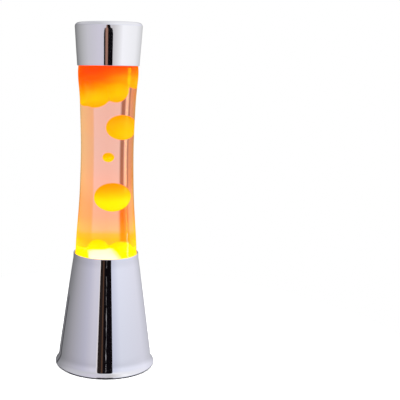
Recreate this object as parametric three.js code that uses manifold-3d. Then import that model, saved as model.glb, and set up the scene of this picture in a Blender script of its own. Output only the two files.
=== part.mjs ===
// Lava lamp. A chromed, spun base hides a reflector bulb, which lights and warms a sealed glass bottle of
// liquid and wax that stands in the base's top. A loose chromed cap covers the bottle's neck.
// Millimetres, +Z up. The origin is on the lamp's axis, on the surface that it stands on. The front faces -Y.

import * as THREE from 'three';
import { mergeVertices } from 'three/addons/utils/BufferGeometryUtils.js';
import Module from 'manifold-3d';

const wasm = await Module();
wasm.setup();

// ---- Driving dimensions ----

const GAP = 0.3; // between neighbours that touch
const ROUND = 28; // facets around the large spun pieces
const FINE = 14; // facets around the small turned pieces

// Base shell
const LAMP_HEIGHT = 390;
const FOOT_RADIUS = 57.5;
const FLARE_HEIGHT = 14;
const FLARE_RADIUS = 53.3;
const RIM_HEIGHT = 132;
const RIM_RADIUS = 37.25;
const SHELL_WALL = 0.8;
const LIP_ROUND = 1.7; // radius of the rolled lip at the foot
const LIP_CLEARANCE = 0.5; // the lip stays this far above the surface

// Bottle
const GLASS_WALL = 2.3;
const BOTTLE_FLOOR = 112;
const BOTTLE_HEEL_RADIUS = 35;
const HEEL_ROUND = 8;
const PUNT_RISE = 3; // the middle of the floor stands this far above its edge
const WAIST_HEIGHT = 254;
const WAIST_RADIUS = 29.65;
const SHOULDER_HEIGHT = 340.5;
const SHOULDER_RADIUS = 33.3;
const SHOULDER_ROUND = 13;
const NECK_RADIUS = 13;
const MOUTH_HEIGHT = 375.5;
const LIQUID_LEVEL = 366;

// Cap
const CAP_EDGE_HEIGHT = 342.7;
const CAP_EDGE_RADIUS = 34.45;
const CAP_HEM = 1.3; // height of the rolled-in edge
const CAP_TOP_RADIUS = 37.3;
const CAP_CORNER_ROUND = 4.5;
const CAP_DOME = 0.8;
const CAP_WALL = 0.75;

// Bottom cover and what stands on it
const COVER_UNDERSIDE = 4.2;
const COVER_THICKNESS = 2;
const COVER_RADIUS = 50;
const COVER_TOP = COVER_UNDERSIDE + COVER_THICKNESS;
const RING_INNER_RADIUS = 42;
const RING_OUTER_RADIUS = 51.4;
const RING_WALL = 1.2;
const RING_TOP = 14;
const SCREW_CIRCLE = 46.5;
const PLATFORM_HEIGHT = 15.7; // top of the bracket's raised middle

// Bulb and lampholder: a small Edison screw, 14 mm across with a 2.822 mm pitch
const THREAD_RADIUS = 6.95;
const THREAD_PITCH = 2.822;
const BULB_TIP = 28;
const BULB_FACE = 94.5;
const BULB_RADIUS = 19.5;
const HOLDER_RADIUS = 13.5;
const HOLDER_TOP = 46;

// Cord inlet, on the shell's back wall
const INLET_HEIGHT = 27;
const INLET_BORE = 4;
const INLET_BARREL = 5.6;
const INLET_DEPTH = 9;

// Free wax: where each blob floats, and its half-width and half-height
const BLOBS = {
  upper: { x: 12.4, z: 275.6, wide: 13.9, tall: 14.1 },
  small: { x: 1.0, z: 242, wide: 5, tall: 5.3 },
  middle: { x: 4.9, z: 196.4, wide: 15.7, tall: 16.4 },
};

// ---- Outlines: lists of [radius, height] ----

const DEGREE = Math.PI / 180;

// Points on a round corner, from one angle to another. 0 points outwards and 90 points up.
function arc(centreR, centreZ, radius, from, to, steps = 6) {
  return Array.from({ length: steps + 1 }, (_, i) => {
    const angle = (from + ((to - from) * i) / steps) * DEGREE;
    return [centreR + radius * Math.cos(angle), centreZ + radius * Math.sin(angle)];
  });
}

// A smooth curve through a few points
function smooth(points, steps) {
  const curve = new THREE.SplineCurve(points.map(([r, z]) => new THREE.Vector2(r, z)));
  return curve.getPoints(steps).map((point) => [point.x, point.y]);
}

// The outline moved sideways by a wall's thickness, to the left of its direction
function offset(points, distance) {
  const normal = (a, b) => {
    const length = Math.hypot(b[0] - a[0], b[1] - a[1]);
    return [(a[1] - b[1]) / length, (b[0] - a[0]) / length];
  };
  return points.map((point, i) => {
    const before = normal(points[Math.max(i - 1, 0)], points[Math.max(i, 1)]);
    const last = points.length - 1;
    const after = normal(points[Math.min(i, last - 1)], points[Math.min(i + 1, last)]);
    const scale = distance / (1 + before[0] * after[0] + before[1] * after[1]);
    const moved = [point[0] + (before[0] + after[0]) * scale, point[1] + (before[1] + after[1]) * scale];
    return [point[0] === 0 ? 0 : moved[0], moved[1]];
  });
}

// ---- Solids ----

// Turns an outline about the Z axis. The outline ends on the axis, or closes on itself.
function turn(outline, facets = ROUND) {
  const points = outline.map(([r, z]) => new THREE.Vector2(r, z));
  if (THREE.ShapeUtils.area(points) < 0) points.reverse();
  const onAxis = points.findIndex((point, i) => point.x === 0 && points[(i + 1) % points.length].x === 0);
  if (onAxis >= 0) points.push(...points.splice(0, onAxis + 1));
  else points.push(points[0].clone());
  return new THREE.LatheGeometry(points, facets).rotateX(Math.PI / 2);
}

function rod(radius, low, high, facets = FINE) {
  return turn([[0, low], [radius, low], [radius, high], [0, high]], facets);
}

function ring(inner, outer, low, high, facets = ROUND) {
  return turn([[inner, low], [outer, low], [outer, high], [inner, high]], facets);
}

function block(lowX, highX, lowY, highY, lowZ, highZ) {
  const size = [highX - lowX, highY - lowY, highZ - lowZ];
  return new THREE.BoxGeometry(...size)
    .translate((lowX + highX) / 2, (lowY + highY) / 2, (lowZ + highZ) / 2);
}

function ellipsoid({ x, y = 0, z, wide, tall }, grow = 0) {
  return new THREE.SphereGeometry(1, 16, 10)
    .rotateX(Math.PI / 2)
    .scale(wide + grow, wide + grow, tall + grow)
    .translate(x, y, z);
}

// A flat outline in X and Z, given a thickness in Y
function plate(outline, lowY, highY) {
  const shape = new THREE.Shape(outline.map(([x, z]) => new THREE.Vector2(x, z)));
  return new THREE.ExtrudeGeometry(shape, { depth: highY - lowY, bevelEnabled: false })
    .rotateX(Math.PI / 2)
    .translate(0, highY, 0);
}

// A round wire or lead along a curve
function wire(curve, radius, steps, sides = 8) {
  const section = new THREE.Shape(
    Array.from({ length: sides }, (_, i) => {
      const angle = (i * 2 * Math.PI) / sides;
      return new THREE.Vector2(radius * Math.cos(angle), radius * Math.sin(angle));
    }),
  );
  return new THREE.ExtrudeGeometry(section, { steps, extrudePath: curve, bevelEnabled: false });
}

// Joins and cuts work on closed solids
function solid(geometry) {
  const bare = geometry.clone();
  bare.deleteAttribute('normal');
  bare.deleteAttribute('uv');
  const merged = mergeVertices(bare, 1e-4);
  return new wasm.Manifold(new wasm.Mesh({
    numProp: 3,
    vertProperties: merged.attributes.position.array,
    triVerts: Uint32Array.from(merged.index.array),
  }));
}

function geometryOf(manifold) {
  const { vertProperties, triVerts } = manifold.getMesh();
  const geometry = new THREE.BufferGeometry();
  geometry.setAttribute('position', new THREE.BufferAttribute(vertProperties, 3));
  geometry.setIndex(new THREE.BufferAttribute(triVerts, 1));
  geometry.computeVertexNormals();
  return geometry;
}

function cut(geometry, ...tools) {
  return geometryOf(tools.reduce((whole, tool) => whole.subtract(solid(tool)), solid(geometry)));
}

function join(...geometries) {
  return geometryOf(geometries.map(solid).reduce((whole, piece) => whole.add(piece)));
}

function within(geometry, limit) {
  return geometryOf(solid(geometry).intersect(solid(limit)));
}

function around(count, firstAngle, make) {
  return Array.from({ length: count }, (_, i) => make(firstAngle * DEGREE + (i * 2 * Math.PI) / count, i));
}

// ---- The lamp's tree of named pieces ----

const finish = (color, roughness, metalness) => ({ color, roughness, metalness });
const CHROME = finish(0xd8d8e0, 0.08, 1);
const STEEL = finish(0xa8aab0, 0.35, 1);
const BRASS = finish(0xc9a24b, 0.3, 1);
const BLACK_PLASTIC = finish(0x18181a, 0.6, 0);
const WHITE_CERAMIC = finish(0xeeebe2, 0.4, 0);
const RUBBER = finish(0x141414, 0.9, 0);
const SILICONE = finish(0xd9d6cc, 0.7, 0);
const GLASS = finish(0xf6e6dc, 0.03, 0);
const LIQUID = finish(0xf4b79a, 0.05, 0);
const WAX = finish(0xffb000, 0.4, 0);
const LEAD = finish(0x6b3f23, 0.6, 0);

const lamp = new THREE.Group();

function add(name, geometry, { color, roughness, metalness }) {
  const mesh = new THREE.Mesh(geometry, new THREE.MeshStandardMaterial({ color, roughness, metalness }));
  mesh.name = name;
  lamp.add(mesh);
  return mesh;
}

// ---- Base shell: a spun cone with a flared, rolled lip and a folded hem at its rim ----

const lipCentreR = FOOT_RADIUS - LIP_ROUND;
const lipCentreZ = LIP_CLEARANCE + LIP_ROUND;
const hemHeight = 6;
const hemRound = SHELL_WALL;

const coneOutline = smooth([
  [FLARE_RADIUS, FLARE_HEIGHT],
  [(FLARE_RADIUS + RIM_RADIUS) / 2 + 0.3, (FLARE_HEIGHT + RIM_HEIGHT) / 2],
  [RIM_RADIUS + 0.12, RIM_HEIGHT - hemHeight],
], 4);
const flareOutline = smooth([
  [lipCentreR + LIP_ROUND * Math.cos(20 * DEGREE), lipCentreZ + LIP_ROUND * Math.sin(20 * DEGREE)],
  [FLARE_RADIUS + 2.7, 6.7],
  [FLARE_RADIUS, FLARE_HEIGHT],
], 4);
const shellOutside = [
  ...arc(lipCentreR, lipCentreZ, LIP_ROUND, -150, 0, 4),
  ...flareOutline.slice(0, -1),
  ...coneOutline,
];
const shellInside = offset(shellOutside, SHELL_WALL);
const hemInner = RIM_RADIUS - 2 * hemRound;

function baseShell() {
  const rim = arc(RIM_RADIUS - hemRound, RIM_HEIGHT - hemRound, hemRound, 0, 180, 4);
  const outline = [
    ...shellOutside,
    ...rim,
    [hemInner, RIM_HEIGHT - hemHeight],
    ...shellInside.reverse(),
  ];
  const hole = inletPlace(rod(INLET_BARREL + GAP, -4, 4));
  return cut(turn(outline), hole);
}

// The inlet's own axis is square to the sloping wall: its local +Z points out of the shell
const wallSlope = Math.atan2(FLARE_RADIUS - RIM_RADIUS, RIM_HEIGHT - FLARE_HEIGHT);
const inletRadius = FLARE_RADIUS - (INLET_HEIGHT - FLARE_HEIGHT) * Math.tan(wallSlope) - SHELL_WALL / 2 + 0.05;

function inletPlace(geometry) {
  return geometry.rotateX(-Math.PI / 2 + wallSlope).translate(0, inletRadius, INLET_HEIGHT);
}

function cordInlet() {
  const bush = turn([
    [INLET_BORE, -INLET_DEPTH],
    [INLET_BARREL, -INLET_DEPTH],
    [INLET_BARREL, -2.6],
    [INLET_BARREL + 1.4, -2.6],
    [INLET_BARREL + 1.4, -1.4],
    [INLET_BARREL, -1.4],
    [INLET_BARREL, 1.2],
    [INLET_BARREL + 2.2, 1.2],
    [INLET_BARREL + 2.2, 2.2],
    [INLET_BORE + 1, 3.2],
    [INLET_BORE, 3.2],
  ], FINE);
  return inletPlace(bush);
}

add('base_shell', baseShell(), CHROME);
add('cord_inlet', cordInlet(), BLACK_PLASTIC);

// ---- Bottle seat: a ring wedged up into the cone, with a silicone gasket under the glass ----

const gasketThickness = 2;
const seatTop = BOTTLE_FLOOR - GAP - gasketThickness - GAP;
const seatThickness = 1.2;
const seatBottom = seatTop - seatThickness;
const seatHole = 22.5;
const seatWallTop = seatTop + 9;

function shellInnerRadius(height) {
  const [low, high] = [coneOutline[0], coneOutline[coneOutline.length - 1]];
  return low[0] + ((high[0] - low[0]) * (height - low[1])) / (high[1] - low[1]) - SHELL_WALL;
}

function bottleSeat() {
  const outer = (height) => shellInnerRadius(height) - GAP;
  return turn([
    [seatHole, seatBottom],
    [outer(seatBottom), seatBottom],
    [outer(seatWallTop), seatWallTop],
    [outer(seatWallTop) - seatThickness, seatWallTop],
    [outer(seatTop) - seatThickness, seatTop],
    [seatHole, seatTop],
  ]);
}

add('bottle_seat', bottleSeat(), STEEL);
add('seat_gasket', ring(seatHole + 0.7, 29, seatTop + GAP, seatTop + GAP + gasketThickness), SILICONE);

// ---- Cover ring, bottom cover, feet and their screws ----

const ringLow = COVER_TOP + GAP;
const ringFloor = ringLow + RING_WALL;
const threadedHole = 1.75;
const clearanceHole = 1.9;
const coverScrewPlaces = [90, 210, 330].map((angle) => (
  [SCREW_CIRCLE * Math.cos(angle * DEGREE), SCREW_CIRCLE * Math.sin(angle * DEGREE)]));
const bracketScrewX = [-SCREW_CIRCLE, SCREW_CIRCLE];
const coverScrew = { shank: 1.4, length: 5.5, head: 2.8, headHeight: 1.9 };
const bracketScrew = { shank: 1.4, length: 3, head: 2.5, headHeight: 1.7 };
const padCircle = 40;
const padRadius = 6;
const padEdge = 0.6;

function drill(radius, [x, y], low, high) {
  return rod(radius, low, high, 12).translate(x, y, 0);
}

function coverRing() {
  const outline = [
    [RING_INNER_RADIUS, ringLow],
    [RING_OUTER_RADIUS, ringLow],
    [RING_OUTER_RADIUS, RING_TOP],
    [RING_OUTER_RADIUS - RING_WALL, RING_TOP],
    [RING_OUTER_RADIUS - RING_WALL, ringFloor],
    [RING_INNER_RADIUS, ringFloor],
  ];
  const holes = coverScrewPlaces.map((place) => drill(threadedHole, place, 0, 20));
  const bracketHoles = bracketScrewX.map((x) => drill(threadedHole, [x, 0], 0, 20));
  return cut(turn(outline), ...holes, ...bracketHoles);
}

// A pan-head screw with a cross recess. Its head is at the top, and its seat is at height 0.
function screw({ shank, length, head, headHeight }) {
  const body = turn([
    [0, -length],
    [shank - 0.4, -length],
    [shank, -length + 0.5],
    [shank, 0],
    [head, 0],
    [head, headHeight * 0.6],
    [head * 0.75, headHeight],
    [0, headHeight],
  ], 10);
  const recess = [[0.35, 1.6], [1.6, 0.35]].map(([x, y]) => (
    block(-x, x, -y, y, headHeight * 0.5, headHeight + 1)));
  return cut(body, ...recess);
}

function bottomCover() {
  const edge = turn([
    [0, COVER_UNDERSIDE],
    [COVER_RADIUS - 0.8, COVER_UNDERSIDE],
    [COVER_RADIUS, COVER_UNDERSIDE + 0.8],
    [COVER_RADIUS, COVER_TOP],
    [0, COVER_TOP],
  ]);
  const vents = around(12, 15, (angle) => block(20, 32, -1.5, 1.5, 0, 10).rotateZ(angle));
  const holes = coverScrewPlaces.map((place) => drill(clearanceHole, place, 0, 20));
  return cut(edge, ...vents, ...holes);
}

add('cover_ring', coverRing(), STEEL);
add('bottom_cover', bottomCover(), BLACK_PLASTIC);
coverScrewPlaces.forEach(([x, y], i) => {
  const mesh = add(`cover_screw_${i + 1}`, screw(coverScrew).rotateX(Math.PI), STEEL);
  mesh.position.set(x, y, COVER_UNDERSIDE - GAP);
});

function footPad() {
  const top = COVER_UNDERSIDE - GAP;
  return turn([[0, 0], [padRadius - padEdge, 0], [padRadius, padEdge], [padRadius, top], [0, top]], FINE);
}

around(4, 45, (angle, i) => {
  const mesh = add(`foot_${i + 1}`, footPad(), RUBBER);
  mesh.position.set(padCircle * Math.cos(angle), padCircle * Math.sin(angle), 0);
});

// ---- Lampholder bracket: a folded strap that bridges the cover ring ----

const strap = 1.2;
const strapLow = ringFloor + GAP;
const strapHalfWidth = 8;
const nippleRadius = 5;
const nippleBore = 3.6;

function bracket() {
  const top = [[-48.9, strapLow + strap], [-37, strapLow + strap], [-25, PLATFORM_HEIGHT]];
  const left = [...top, ...top.map(([x, z]) => [-x, z]).reverse()];
  const under = left.map(([x, z]) => [x, z - strap]).reverse();
  const screwHoles = bracketScrewX.map((x) => drill(threadedHole, [x, 0], 0, 30));
  const nippleHole = drill(nippleRadius + GAP, [0, 0], 0, 30);
  return cut(plate([...left, ...under], -strapHalfWidth, strapHalfWidth), ...screwHoles, nippleHole);
}

add('lampholder_bracket', bracket(), STEEL);
bracketScrewX.forEach((x, i) => {
  add(`bracket_screw_${i + 1}`, screw(bracketScrew), STEEL).position.set(x, 0, strapLow + strap + GAP);
});

// ---- Lampholder: ceramic body, brass screw shell and centre contact, on a threaded nipple ----

const holderLow = PLATFORM_HEIGHT + GAP;
const cavityFloor = 24;
const shellTubeInner = THREAD_RADIUS + 0.35;
const shellTubeOuter = shellTubeInner + 0.4;
const leadX = 4;
const leadRadius = 1.1;
const leadHeight = 20.2;
const leadHole = leadRadius + 0.4;

function lampholderBody() {
  const body = turn([
    [nippleRadius + GAP, holderLow],
    [HOLDER_RADIUS - 2, holderLow],
    [HOLDER_RADIUS, holderLow + 2],
    [HOLDER_RADIUS, HOLDER_TOP - 1],
    [HOLDER_RADIUS - 1, HOLDER_TOP],
    [shellTubeOuter + GAP, HOLDER_TOP],
    [shellTubeOuter + GAP, cavityFloor],
    [0, cavityFloor],
    [0, holderLow + 5.6],
    [nippleRadius + GAP, holderLow + 5.6],
  ], FINE);
  const leadHoles = [-leadX, leadX].map((x) => rod(leadHole, 0, 6, 12)
    .rotateX(-Math.PI / 2)
    .translate(x, HOLDER_RADIUS - 4.5, leadHeight));
  return cut(body, ...leadHoles);
}

function centreContact() {
  const strip = [[-5, cavityFloor + GAP], [5, cavityFloor + GAP], [5.6, 25.5], [4, 27], [-2, 27.65]];
  return plate([...offset(strip, 0.45), ...strip.reverse()], -2.5, 2.5);
}

// A hexagonal nut, made as a prism with its bore cut through
function hexNut(acrossFlats, bore, low, high) {
  return cut(rod(acrossFlats / Math.sqrt(3), low, high, 6), rod(bore, low - 1, high + 1));
}

const nippleLow = 8.6;
const nippleInBody = 5.2; // how far the nipple reaches up into the body
const nutTop = PLATFORM_HEIGHT - strap - GAP;
const nutHeight = 3.4;
const nutAcrossFlats = 15;
add('lampholder_body', lampholderBody(), WHITE_CERAMIC);
add('lampholder_shell', ring(shellTubeInner, shellTubeOuter, 27.9, HOLDER_TOP - 0.6, FINE), BRASS);
add('lampholder_contact', centreContact(), BRASS);
add('lampholder_nipple', ring(nippleBore, nippleRadius, nippleLow, holderLow + nippleInBody, FINE), STEEL);
add('nipple_nut', hexNut(nutAcrossFlats, nippleRadius + GAP, nutTop - nutHeight, nutTop), STEEL);

// ---- Terminal block and the two leads to the lampholder ----

const terminalFront = 25;
const terminalBack = 37;
const terminalHalfWidth = 9;
const terminalHigh = 15.5;
const terminalScrewRadius = 1.7;
const wireHoleHeight = 10.8;

function terminalBlock() {
  const body = block(
    -terminalHalfWidth, terminalHalfWidth, terminalFront, terminalBack, COVER_TOP + GAP, terminalHigh);
  const wireHoles = [-leadX, leadX].map((x) => rod(leadHole, 0, 20, 12)
    .rotateX(-Math.PI / 2)
    .translate(x, terminalFront - 2, wireHoleHeight));
  const middle = (terminalFront + terminalBack) / 2;
  const screwWells = [-leadX, leadX].map((x) => drill(terminalScrewRadius, [x, middle], wireHoleHeight, 20));
  return cut(body, ...wireHoles, ...screwWells);
}

// From a terminal, up beside the strap and into the body
function lead(x) {
  const path = new THREE.CatmullRomCurve3([
    [x, 28, wireHoleHeight],
    [x, 23, wireHoleHeight],
    [x * 1.15, 20, 13],
    [x * 1.15, 17.6, 18],
    [x, 14.5, leadHeight],
    [x, 9.6, leadHeight],
  ].map((point) => new THREE.Vector3(...point)));
  return wire(path, leadRadius, 14, 6);
}

add('terminal_block', terminalBlock(), WHITE_CERAMIC);
add('live_lead', lead(leadX), LEAD);
add('neutral_lead', lead(-leadX), LEAD);

// ---- Reflector bulb ----

const bulbNeckRadius = 5.9;
const bulbCapBore = bulbNeckRadius + GAP;
const bulbCapTop = 48.2;
const bulbCapLow = 33.4;
const bulbCapWall = 0.35;
const bulbCapTurns = 4;

function bulbGlass() {
  const outside = [
    [bulbNeckRadius, 40],
    [bulbNeckRadius, bulbCapTop + GAP],
    ...smooth([[8.2, 51.6], [9.2, 57], [13, 68], [BULB_RADIUS - 0.6, 83]], 6),
    ...arc(BULB_RADIUS - 3.5, 86.5, 3.5, 0, 60, 3),
    ...smooth([[13, BULB_FACE - 2.9], [7, BULB_FACE - 0.8], [0, BULB_FACE]], 3).slice(0, -1),
    [0, BULB_FACE],
  ];
  return turn([...outside, ...offset(outside, 0.8).reverse()], FINE);
}

// The brass cap's thread, as rounded rings one pitch apart
function bulbCap() {
  const root = bulbCapBore + bulbCapWall;
  const outside = [[root, bulbCapLow]];
  for (let i = 0; i < bulbCapTurns; i += 1) {
    const crest = bulbCapLow + (i + 0.6) * THREAD_PITCH;
    outside.push([THREAD_RADIUS, crest], [root, crest + THREAD_PITCH / 2]);
  }
  outside.push([root, bulbCapTop]);
  const inside = [[bulbCapBore, bulbCapTop], [bulbCapBore, bulbCapLow]];
  return turn([...outside, ...inside], FINE);
}

// Glass stem, with the support wires and the filament as one loop
function bulbFilament() {
  const loop = new THREE.CatmullRomCurve3([
    [-1.4, 0, 52],
    [-2.2, 0, 60],
    [-5.2, 0, 70],
    [-4.6, 2, 72.5],
    [0, 3, 73],
    [4.6, 2, 72.5],
    [5.2, 0, 70],
    [2.2, 0, 60],
    [1.4, 0, 52],
  ].map((point) => new THREE.Vector3(...point)));
  const stem = turn([[0, 42], [4.4, 42], [4.4, 42.8], [2.2, 46], [2.4, 56], [0, 56.8]], 12);
  return join(stem, wire(loop, 0.35, 28, 6));
}

add('bulb_glass', bulbGlass(), GLASS);
add('bulb_cap', bulbCap(), BRASS);
const contactTop = BULB_TIP + 2;
const insulatorLow = contactTop + GAP;
const insulatorTop = bulbCapLow - GAP;
add('bulb_insulator', turn([
  [0, insulatorLow], [2.6, insulatorLow], [6.2, insulatorTop], [0, insulatorTop],
], FINE), BLACK_PLASTIC);
add('bulb_contact', turn([
  [0, BULB_TIP], [1.6, BULB_TIP + 0.3], [2.3, BULB_TIP + 1.2], [2.3, contactTop], [0, contactTop],
], FINE), STEEL);
add('bulb_filament', bulbFilament(), STEEL);

// ---- Glass bottle ----

const heelCentreR = BOTTLE_HEEL_RADIUS - HEEL_ROUND;
const heelCentreZ = BOTTLE_FLOOR + HEEL_ROUND;
const shoulderCentreR = SHOULDER_RADIUS - SHOULDER_ROUND;
const neckBase = SHOULDER_HEIGHT + SHOULDER_ROUND + 4.4;

const bottleOutside = [
  [0, BOTTLE_FLOOR + PUNT_RISE],
  [12, BOTTLE_FLOOR + PUNT_RISE * 0.75],
  [heelCentreR - 4, BOTTLE_FLOOR],
  ...arc(heelCentreR, heelCentreZ, HEEL_ROUND, -90, -10, 3),
  ...smooth([
    [BOTTLE_HEEL_RADIUS, RIM_HEIGHT],
    [33.75, 157],
    [31.25, 189],
    [29.95, 228],
    [WAIST_RADIUS, WAIST_HEIGHT],
    [30.55, 288],
    [32.1, 317],
    [SHOULDER_RADIUS, SHOULDER_HEIGHT],
  ], 8),
  ...arc(shoulderCentreR, SHOULDER_HEIGHT, SHOULDER_ROUND, 12, 80, 3),
  ...arc(NECK_RADIUS + 4, neckBase, 4, 240, 180, 2),
];

function bottleBore(gap) {
  return offset(bottleOutside, GLASS_WALL + gap);
}

function glassBottle() {
  const finishRing = [
    [NECK_RADIUS, MOUTH_HEIGHT - 6.5],
    [NECK_RADIUS + 0.5, MOUTH_HEIGHT - 5.5],
    [NECK_RADIUS + 0.5, MOUTH_HEIGHT - 1],
    [NECK_RADIUS - 0.5, MOUTH_HEIGHT],
  ];
  const bore = bottleBore(0);
  const mouth = [bore[bore.length - 1][0], MOUTH_HEIGHT];
  return turn([...bottleOutside, ...finishRing, mouth, ...bore.reverse()]);
}

// What fills the bottle's bore between two heights, clear of the glass by a gap
function filling(low, high, gap = GAP) {
  const bore = bottleBore(gap);
  const neck = bore[bore.length - 1][0];
  const whole = turn([...bore, [neck, LIQUID_LEVEL + 4], [0, LIQUID_LEVEL + 4]]);
  return within(whole, block(-60, 60, -60, 60, low, high));
}

add('glass_bottle', glassBottle(), GLASS);

// ---- Crown closure and its seal ----

const crownTop = MOUTH_HEIGHT + 2.2;
add('closure_seal', rod(NECK_RADIUS, MOUTH_HEIGHT + GAP, MOUTH_HEIGHT + 1.2), SILICONE);
add('bottle_closure', turn([
  [0, MOUTH_HEIGHT + 1.5],
  [13.9, MOUTH_HEIGHT + 1.5],
  [14, MOUTH_HEIGHT - 2],
  [15.5, MOUTH_HEIGHT - 4.6],
  [16.1, MOUTH_HEIGHT - 4.4],
  [14.7, MOUTH_HEIGHT - 1.8],
  [14.5, crownTop - 0.6],
  [13.9, crownTop],
  [0, crownTop],
]), STEEL);

// ---- Heat coil: a ring of coiled wire on the bottle's floor ----

const coilRing = 24.5;
const coilRadius = 2.4;
const coilWire = 0.5;
const coilTurns = 20;
const boreFloor = BOTTLE_FLOOR + GLASS_WALL;
const coilHeight = boreFloor + 0.9 + coilRadius + coilWire;

class CoilCurve extends THREE.Curve {
  getPoint(t) {
    const round = t * 0.985 * 2 * Math.PI;
    const twist = t * coilTurns * 2 * Math.PI;
    const radius = coilRing + coilRadius * Math.cos(twist);
    return new THREE.Vector3(
      radius * Math.cos(round), radius * Math.sin(round), coilHeight + coilRadius * Math.sin(twist));
  }
}

add('heat_coil', wire(new CoilCurve(), coilWire, coilTurns * 6, 4), STEEL);

// ---- Wax and liquid ----

// Lobes of warm wax that hang from the bottle's top, and mounds that rise from its bottom
const LOBES = [
  { x: -12.8, z: 314, wide: 14.2, tall: 17 },
  { x: 8.8, z: 317, wide: 9.8, tall: 14.2 },
  { x: 22.5, z: 327, wide: 5.5, tall: 9 },
];
const MOUNDS = [
  { x: -7.6, z: 134, wide: 13, tall: 13.2 },
  { x: 10.4, z: 131, wide: 12, tall: 13.2 },
];
const topWaxLow = 317;
const topWaxHigh = 351;
const backChannel = 17; // the liquid passes behind the top wax, up into the neck
const poolHigh = 136;

function waxTop(grow = 0) {
  const plug = block(-60, 60, -60, backChannel + grow, topWaxLow - grow, topWaxHigh + grow);
  const lobes = join(plug, ...LOBES.map((lobe) => ellipsoid(lobe, grow)));
  const front = within(lobes, block(-60, 60, -60, backChannel + grow, 280, topWaxHigh + grow));
  return within(front, filling(280, topWaxHigh + grow, GAP - grow));
}

function waxPool(grow = 0) {
  const mounds = MOUNDS.map((mound) => ellipsoid(mound, grow));
  const pool = join(filling(0, poolHigh + grow, GAP - grow), ...mounds);
  const coilRoom = coilRadius + coilWire + GAP - grow;
  const channel = ring(coilRing - coilRoom, coilRing + coilRoom, 100, coilHeight + coilRoom);
  return grow > 0 ? pool : cut(pool, channel);
}

function carrierLiquid() {
  const blobs = Object.values(BLOBS).map((blob) => ellipsoid(blob, GAP));
  const slit = block(2.5, 3.5, 0, 60, BLOBS.middle.z, BLOBS.upper.z);
  const whole = filling(0, LIQUID_LEVEL);
  return cut(whole, waxTop(GAP), waxPool(GAP), ...blobs, slit);
}

add('wax_top', waxTop(), WAX);
add('wax_pool', waxPool(), WAX);
add('carrier_liquid', carrierLiquid(), LIQUID);
for (const [name, blob] of Object.entries(BLOBS)) add(`wax_blob_${name}`, ellipsoid(blob), WAX);

// ---- Top cap: a spun cup, open below, whose edge rests on the bottle's shoulder ----

function topCap() {
  const outside = [
    [CAP_EDGE_RADIUS, CAP_EDGE_HEIGHT + CAP_HEM],
    ...arc(CAP_TOP_RADIUS - CAP_CORNER_ROUND, LAMP_HEIGHT - CAP_DOME - CAP_CORNER_ROUND,
      CAP_CORNER_ROUND, 4, 88, 5),
    [20, LAMP_HEIGHT - CAP_DOME * 0.35],
    [0, LAMP_HEIGHT],
  ];
  const hem = [
    [CAP_EDGE_RADIUS - 1.05, CAP_EDGE_HEIGHT + 0.2],
    [CAP_EDGE_RADIUS - 0.85, CAP_EDGE_HEIGHT],
    [CAP_EDGE_RADIUS - 0.25, CAP_EDGE_HEIGHT + 0.3],
  ];
  return turn([...hem, ...outside, ...offset(outside, CAP_WALL).reverse()]);
}

add('top_cap', topCap(), CHROME);

export default lamp;
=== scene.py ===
import math

import bmesh
import bpy
import numpy as np
from mathutils import Euler, Matrix, Vector, noise


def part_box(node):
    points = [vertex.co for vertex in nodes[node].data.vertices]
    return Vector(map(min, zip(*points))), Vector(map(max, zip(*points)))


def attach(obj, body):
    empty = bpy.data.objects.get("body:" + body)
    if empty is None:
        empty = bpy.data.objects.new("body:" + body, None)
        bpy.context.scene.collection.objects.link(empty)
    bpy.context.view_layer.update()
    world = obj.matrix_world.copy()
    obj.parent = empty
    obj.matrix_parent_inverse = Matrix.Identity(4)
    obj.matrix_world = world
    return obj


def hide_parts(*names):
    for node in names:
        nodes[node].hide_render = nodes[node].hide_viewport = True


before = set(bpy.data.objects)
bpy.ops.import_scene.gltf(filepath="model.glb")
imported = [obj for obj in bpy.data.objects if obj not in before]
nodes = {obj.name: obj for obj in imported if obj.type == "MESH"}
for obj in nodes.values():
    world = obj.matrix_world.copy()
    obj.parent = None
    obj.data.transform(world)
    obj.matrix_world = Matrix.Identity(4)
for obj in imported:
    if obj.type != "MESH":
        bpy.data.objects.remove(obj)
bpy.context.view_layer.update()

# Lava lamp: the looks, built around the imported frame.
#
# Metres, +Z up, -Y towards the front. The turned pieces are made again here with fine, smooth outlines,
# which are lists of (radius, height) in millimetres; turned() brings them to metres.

MM = 0.001


def node_top(name):
    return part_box(name)[1].z / MM


def node_bottom(name):
    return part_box(name)[0].z / MM


def node_radius(name):
    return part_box(name)[1].x / MM


def extent(name):
    """A turned node's bottom, top and radius."""
    return node_bottom(name), node_top(name), node_radius(name)


# ---- Sizes, from the frame where it shows them ----

LAMP_HEIGHT = node_top("top_cap")
FOOT_RADIUS = node_radius("base_shell")
RIM_HEIGHT = node_top("base_shell")
LIP_BOTTOM = node_bottom("base_shell")
CAP_EDGE = node_bottom("top_cap")
CAP_RADIUS = node_radius("top_cap")
BOTTLE_FLOOR = node_bottom("glass_bottle")
MOUTH = node_top("glass_bottle")
LIQUID_LEVEL = node_top("carrier_liquid")
BULB_FACE = node_top("bulb_glass")
BULB_RADIUS = node_radius("bulb_glass")

RIM_RADIUS = 37.25
SHELL_WALL = 0.8
GLASS_WALL = 2.3
HEEL_RADIUS = 35.0
HEEL_ROUND = 8.0
SHOULDER_HEIGHT = 340.5
SHOULDER_RADIUS = 33.3
SHOULDER_ROUND = 13.0
NECK_RADIUS = 13.0
WAX_GAP = 0.2  # between wax and glass
LIQUID_OVERLAP = 0.1  # the liquid reaches this far into the glass, so that no air shows between them


# ---- Outlines ----


def arc(centre_r, centre_z, radius, start, end, steps):
    """Points on a round corner; 0 degrees points outwards and 90 points up."""
    angles = np.radians(np.linspace(start, end, steps + 1))
    return [(centre_r + radius * math.cos(a), centre_z + radius * math.sin(a)) for a in angles]


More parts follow.
